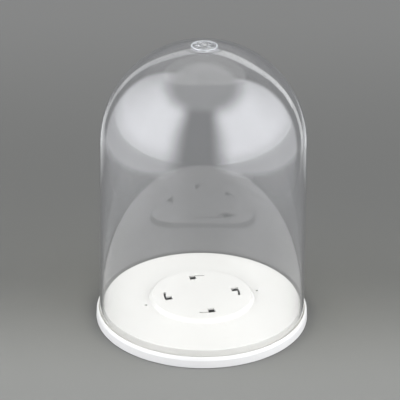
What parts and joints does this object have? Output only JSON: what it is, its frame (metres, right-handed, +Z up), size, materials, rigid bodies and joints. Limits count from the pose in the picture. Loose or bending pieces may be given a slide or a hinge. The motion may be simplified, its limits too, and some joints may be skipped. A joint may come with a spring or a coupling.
{
  "type": "humidity dome tray",
  "caption": "Clear bell dome with a rotary crown vent, standing in the groove of a round white tray with bayonet windows, on rubber feet.",
  "frame": {"origin": "centre of the round footprint, on the surface that the feet stand on", "axes": "+Z up along the dome's axis; the tray's two pin holes lie on the X axis"},
  "size_m": [0.2108, 0.2108, 0.2881],
  "materials": {
    "tray": "white moulded polystyrene, satin gloss",
    "clear_dome": "water-clear moulded plastic, polished",
    "clear_vent": "clear moulded plastic, fine satin",
    "feet": "matt grey rubber"
  },
  "bodies": {
    "base": {"base_tray": "tray", "foot_front_right": "feet", "foot_front_left": "feet", "foot_rear_left": "feet", "foot_rear_right": "feet"},
    "dome": {"dome": "clear_dome"},
    "vent": {"vent_shutter": "clear_vent", "vent_rivet": "clear_vent", "vent_washer": "clear_vent"}
  },
  "joints": [
    {"name": "dome_lift", "type": "slide", "parent": "base", "child": "dome", "axis": [0, 0, 1], "range_m": [0, 0.3]},
    {"name": "vent_turn", "type": "hinge", "parent": "dome", "child": "vent", "pos_m": [0, 0, 0.2865], "axis": [0, 0, 1], "range_deg": [0, 60]}
  ]
}
